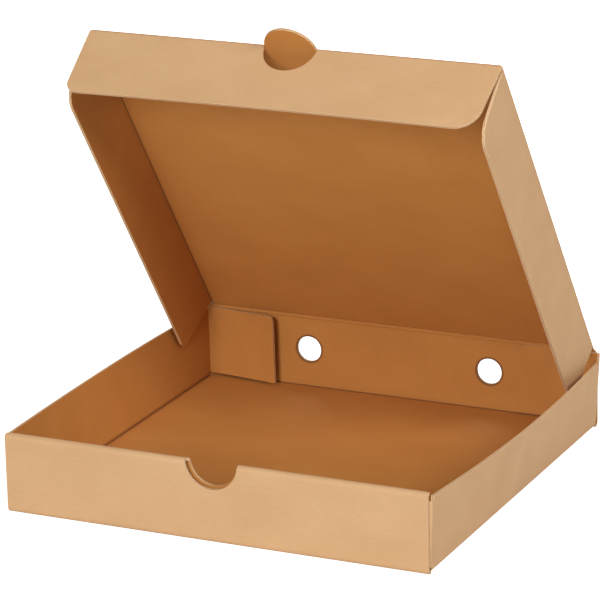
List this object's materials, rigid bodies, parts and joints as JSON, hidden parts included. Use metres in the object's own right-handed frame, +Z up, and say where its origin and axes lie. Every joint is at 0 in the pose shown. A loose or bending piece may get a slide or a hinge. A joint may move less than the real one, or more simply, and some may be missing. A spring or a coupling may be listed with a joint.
{
  "type": "folding_food_box",
  "caption": "Open kraft corrugated pizza box with a hinged lid, tuck flaps, a rolled-over front wall, a thumb notch and round vent holes",
  "frame": {"origin": "Middle of the tray's underside, on the surface that the box stands on", "axes": "+X to the right and -Y to the front, seen from the front wall with the thumb notch; +Z up"},
  "size_m": [0.26, 0.25, 0.2582],
  "materials": {
    "kraft_board": "matte"
  },
  "bodies": {
    "tray": {"tray": "kraft_board"},
    "lid_panel": {"lid_panel": "kraft_board"},
    "lid_front_flap": {"lid_front_flap": "kraft_board"},
    "lid_left_flap": {"lid_left_flap": "kraft_board"},
    "lid_right_flap": {"lid_right_flap": "kraft_board"}
  },
  "joints": [
    {"name": "lid_hinge", "type": "hinge", "parent": "tray", "child": "lid_panel", "pos_m": [0, 0.1242, 0.0465], "axis": [-1, 0, 0], "range_deg": [-55.3, 124.7]},
    {"name": "front_flap_fold", "type": "hinge", "parent": "lid_panel", "child": "lid_front_flap", "pos_m": [0, -0.01334, 0.24513], "axis": [-1, 0, 0], "range_deg": [-2, 94]},
    {"name": "left_flap_fold", "type": "hinge", "parent": "lid_panel", "child": "lid_left_flap", "pos_m": [-0.1214, 0.12354, 0.04605], "axis": [0, -0.5693, 0.8221], "range_deg": [0, 75]},
    {"name": "right_flap_fold", "type": "hinge", "parent": "lid_panel", "child": "lid_right_flap", "pos_m": [0.1214, 0.12354, 0.04605], "axis": [0, 0.5693, -0.8221], "range_deg": [0, 75]}
  ]
}
